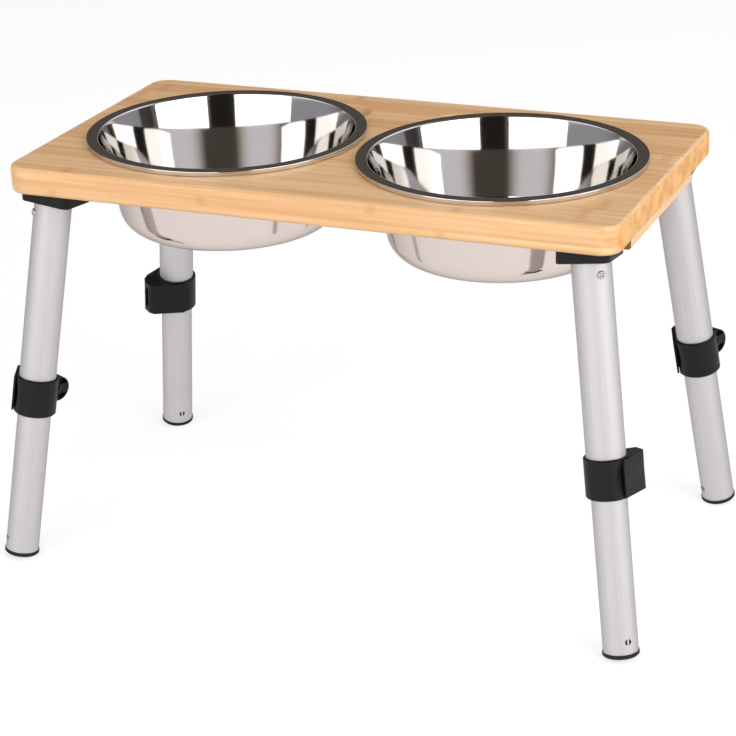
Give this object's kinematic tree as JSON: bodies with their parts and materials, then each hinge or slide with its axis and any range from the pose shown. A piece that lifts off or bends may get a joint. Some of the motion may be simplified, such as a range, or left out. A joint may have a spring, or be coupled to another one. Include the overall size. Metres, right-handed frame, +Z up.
{
  "type": "dog feeder stand",
  "caption": "Raised dog feeder: a bamboo board holding lift-out steel bowls, on splayed telescopic aluminium legs with lever clamps.",
  "frame": {"origin": "on the floor, under the centre of the board", "axes": "+X along the board to its right end, +Y to the back, +Z up"},
  "size_m": [0.493, 0.284, 0.3056],
  "materials": {
    "bamboo": "satin lacquer over laminated bamboo strips",
    "bowl_steel": "polished stainless sheet, satin outside",
    "screw_steel": "zinc plated",
    "tube_aluminium": "satin anodised",
    "black_nylon": "moulded, fine matt texture",
    "foot_rubber": "moulded, matt"
  },
  "bodies": {
    "stand": {"board": "bamboo", "batten_left": "bamboo", "batten_right": "bamboo", "batten_screws": "screw_steel", "plate_screws": "screw_steel", "tube_rivets": "screw_steel", "clamp_bolts": "screw_steel", "clamp_nuts": "screw_steel", "lever_pins": "screw_steel", "leg_plate_front_left": "black_nylon", "upper_tube_front_left": "tube_aluminium", "collar_front_left": "black_nylon", "leg_plate_front_right": "black_nylon", "upper_tube_front_right": "tube_aluminium", "collar_front_right": "black_nylon", "leg_plate_back_left": "black_nylon", "upper_tube_back_left": "tube_aluminium", "collar_back_left": "black_nylon", "leg_plate_back_right": "black_nylon", "upper_tube_back_right": "tube_aluminium", "collar_back_right": "black_nylon"},
    "lower_leg_front_left": {"lower_tube_front_left": "tube_aluminium", "guide_bush_front_left": "black_nylon", "foot_front_left": "foot_rubber"},
    "lower_leg_front_right": {"lower_tube_front_right": "tube_aluminium", "guide_bush_front_right": "black_nylon", "foot_front_right": "foot_rubber"},
    "lower_leg_back_left": {"lower_tube_back_left": "tube_aluminium", "guide_bush_back_left": "black_nylon", "foot_back_left": "foot_rubber"},
    "lower_leg_back_right": {"lower_tube_back_right": "tube_aluminium", "guide_bush_back_right": "black_nylon", "foot_back_right": "foot_rubber"},
    "lever_body_front_left": {"lever_front_left": "black_nylon"},
    "lever_body_front_right": {"lever_front_right": "black_nylon"},
    "lever_body_back_left": {"lever_back_left": "black_nylon"},
    "lever_body_back_right": {"lever_back_right": "black_nylon"},
    "bowl_body_left": {"bowl_left": "bowl_steel"},
    "bowl_body_right": {"bowl_right": "bowl_steel"}
  },
  "joints": [
    {"name": "leg_slide_front_left", "type": "slide", "parent": "stand", "child": "lower_leg_front_left", "axis": [-0.1227, -0.1227, -0.9848], "range_m": [-0.09, 0.03]},
    {"name": "leg_slide_front_right", "type": "slide", "parent": "stand", "child": "lower_leg_front_right", "axis": [0.1227, -0.1227, -0.9848], "range_m": [-0.09, 0.03]},
    {"name": "leg_slide_back_left", "type": "slide", "parent": "stand", "child": "lower_leg_back_left", "axis": [-0.1227, 0.1227, -0.9848], "range_m": [-0.09, 0.03]},
    {"name": "leg_slide_back_right", "type": "slide", "parent": "stand", "child": "lower_leg_back_right", "axis": [0.1227, 0.1227, -0.9848], "range_m": [-0.09, 0.03]},
    {"name": "lever_hinge_front_left", "type": "hinge", "parent": "stand", "child": "lever_body_front_left", "pos_m": [-0.22565, -0.09321, 0.12747], "axis": [-0.1227, -0.1227, -0.9848], "range_deg": [0, 110]},
    {"name": "lever_hinge_front_right", "type": "hinge", "parent": "stand", "child": "lever_body_front_right", "pos_m": [0.22202, -0.09226, 0.1269], "axis": [-0.1227, 0.1227, 0.9848], "range_deg": [0, 110]},
    {"name": "lever_hinge_back_left", "type": "hinge", "parent": "stand", "child": "lever_body_back_left", "pos_m": [-0.23715, 0.10317, 0.13014], "axis": [-0.1227, 0.1227, -0.9848], "range_deg": [0, 110]},
    {"name": "lever_hinge_back_right", "type": "hinge", "parent": "stand", "child": "lever_body_back_right", "pos_m": [0.21261, 0.13454, 0.13099], "axis": [0.1227, 0.1227, -0.9848], "range_deg": [0, 110]},
    {"name": "bowl_lift_left", "type": "slide", "parent": "stand", "child": "bowl_body_left", "axis": [0, 0, 1], "range_m": [0, 0.1]},
    {"name": "bowl_lift_right", "type": "slide", "parent": "stand", "child": "bowl_body_right", "axis": [0, 0, 1], "range_m": [0, 0.1]}
  ]
}
